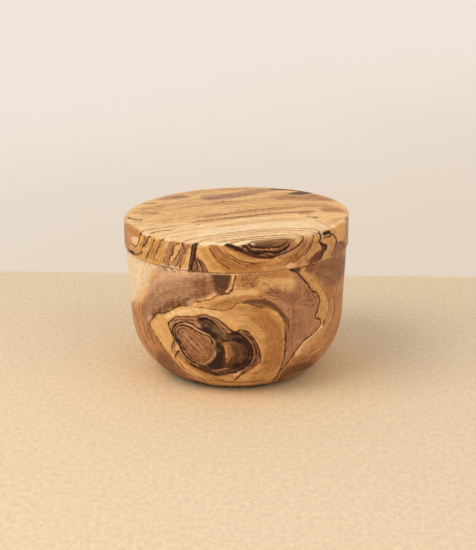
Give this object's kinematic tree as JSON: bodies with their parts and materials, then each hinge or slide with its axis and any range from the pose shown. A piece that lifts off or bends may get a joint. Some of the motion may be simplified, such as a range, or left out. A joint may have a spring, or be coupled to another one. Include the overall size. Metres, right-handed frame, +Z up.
{
  "type": "salt keeper with swivel lid",
  "caption": "Round turned wooden salt keeper with rounded base and a thick flat disc lid that swings sideways on a hidden pin and is held shut by a magnet.",
  "frame": {"origin": "middle of the foot, on the surface that the keeper stands on", "axes": "+Z up; -Y is the front, where the magnet holds the lid; +Y is the back, where the lid pivots; +X to the right seen from the front"},
  "size_m": [0.108, 0.108, 0.0772],
  "materials": {
    "olive_wood": "oiled, satin, with a strong dark figure",
    "pin_steel": "ground",
    "sleeve_brass": "drawn tube",
    "washer_nylon": "natural nylon",
    "magnet_nickel": "nickel plated"
  },
  "bodies": {
    "bowl": {"bowl": "olive_wood", "pivot_sleeve": "sleeve_brass", "pivot_washer": "washer_nylon", "rim_magnet": "magnet_nickel"},
    "lid": {"lid": "olive_wood", "pivot_pin": "pin_steel", "lid_magnet": "magnet_nickel"}
  },
  "joints": [
    {"name": "lid_swivel", "type": "hinge", "parent": "bowl", "child": "lid", "pos_m": [0, 0.04825, 0.0634], "axis": [0, 0, 1], "continuous": true}
  ]
}
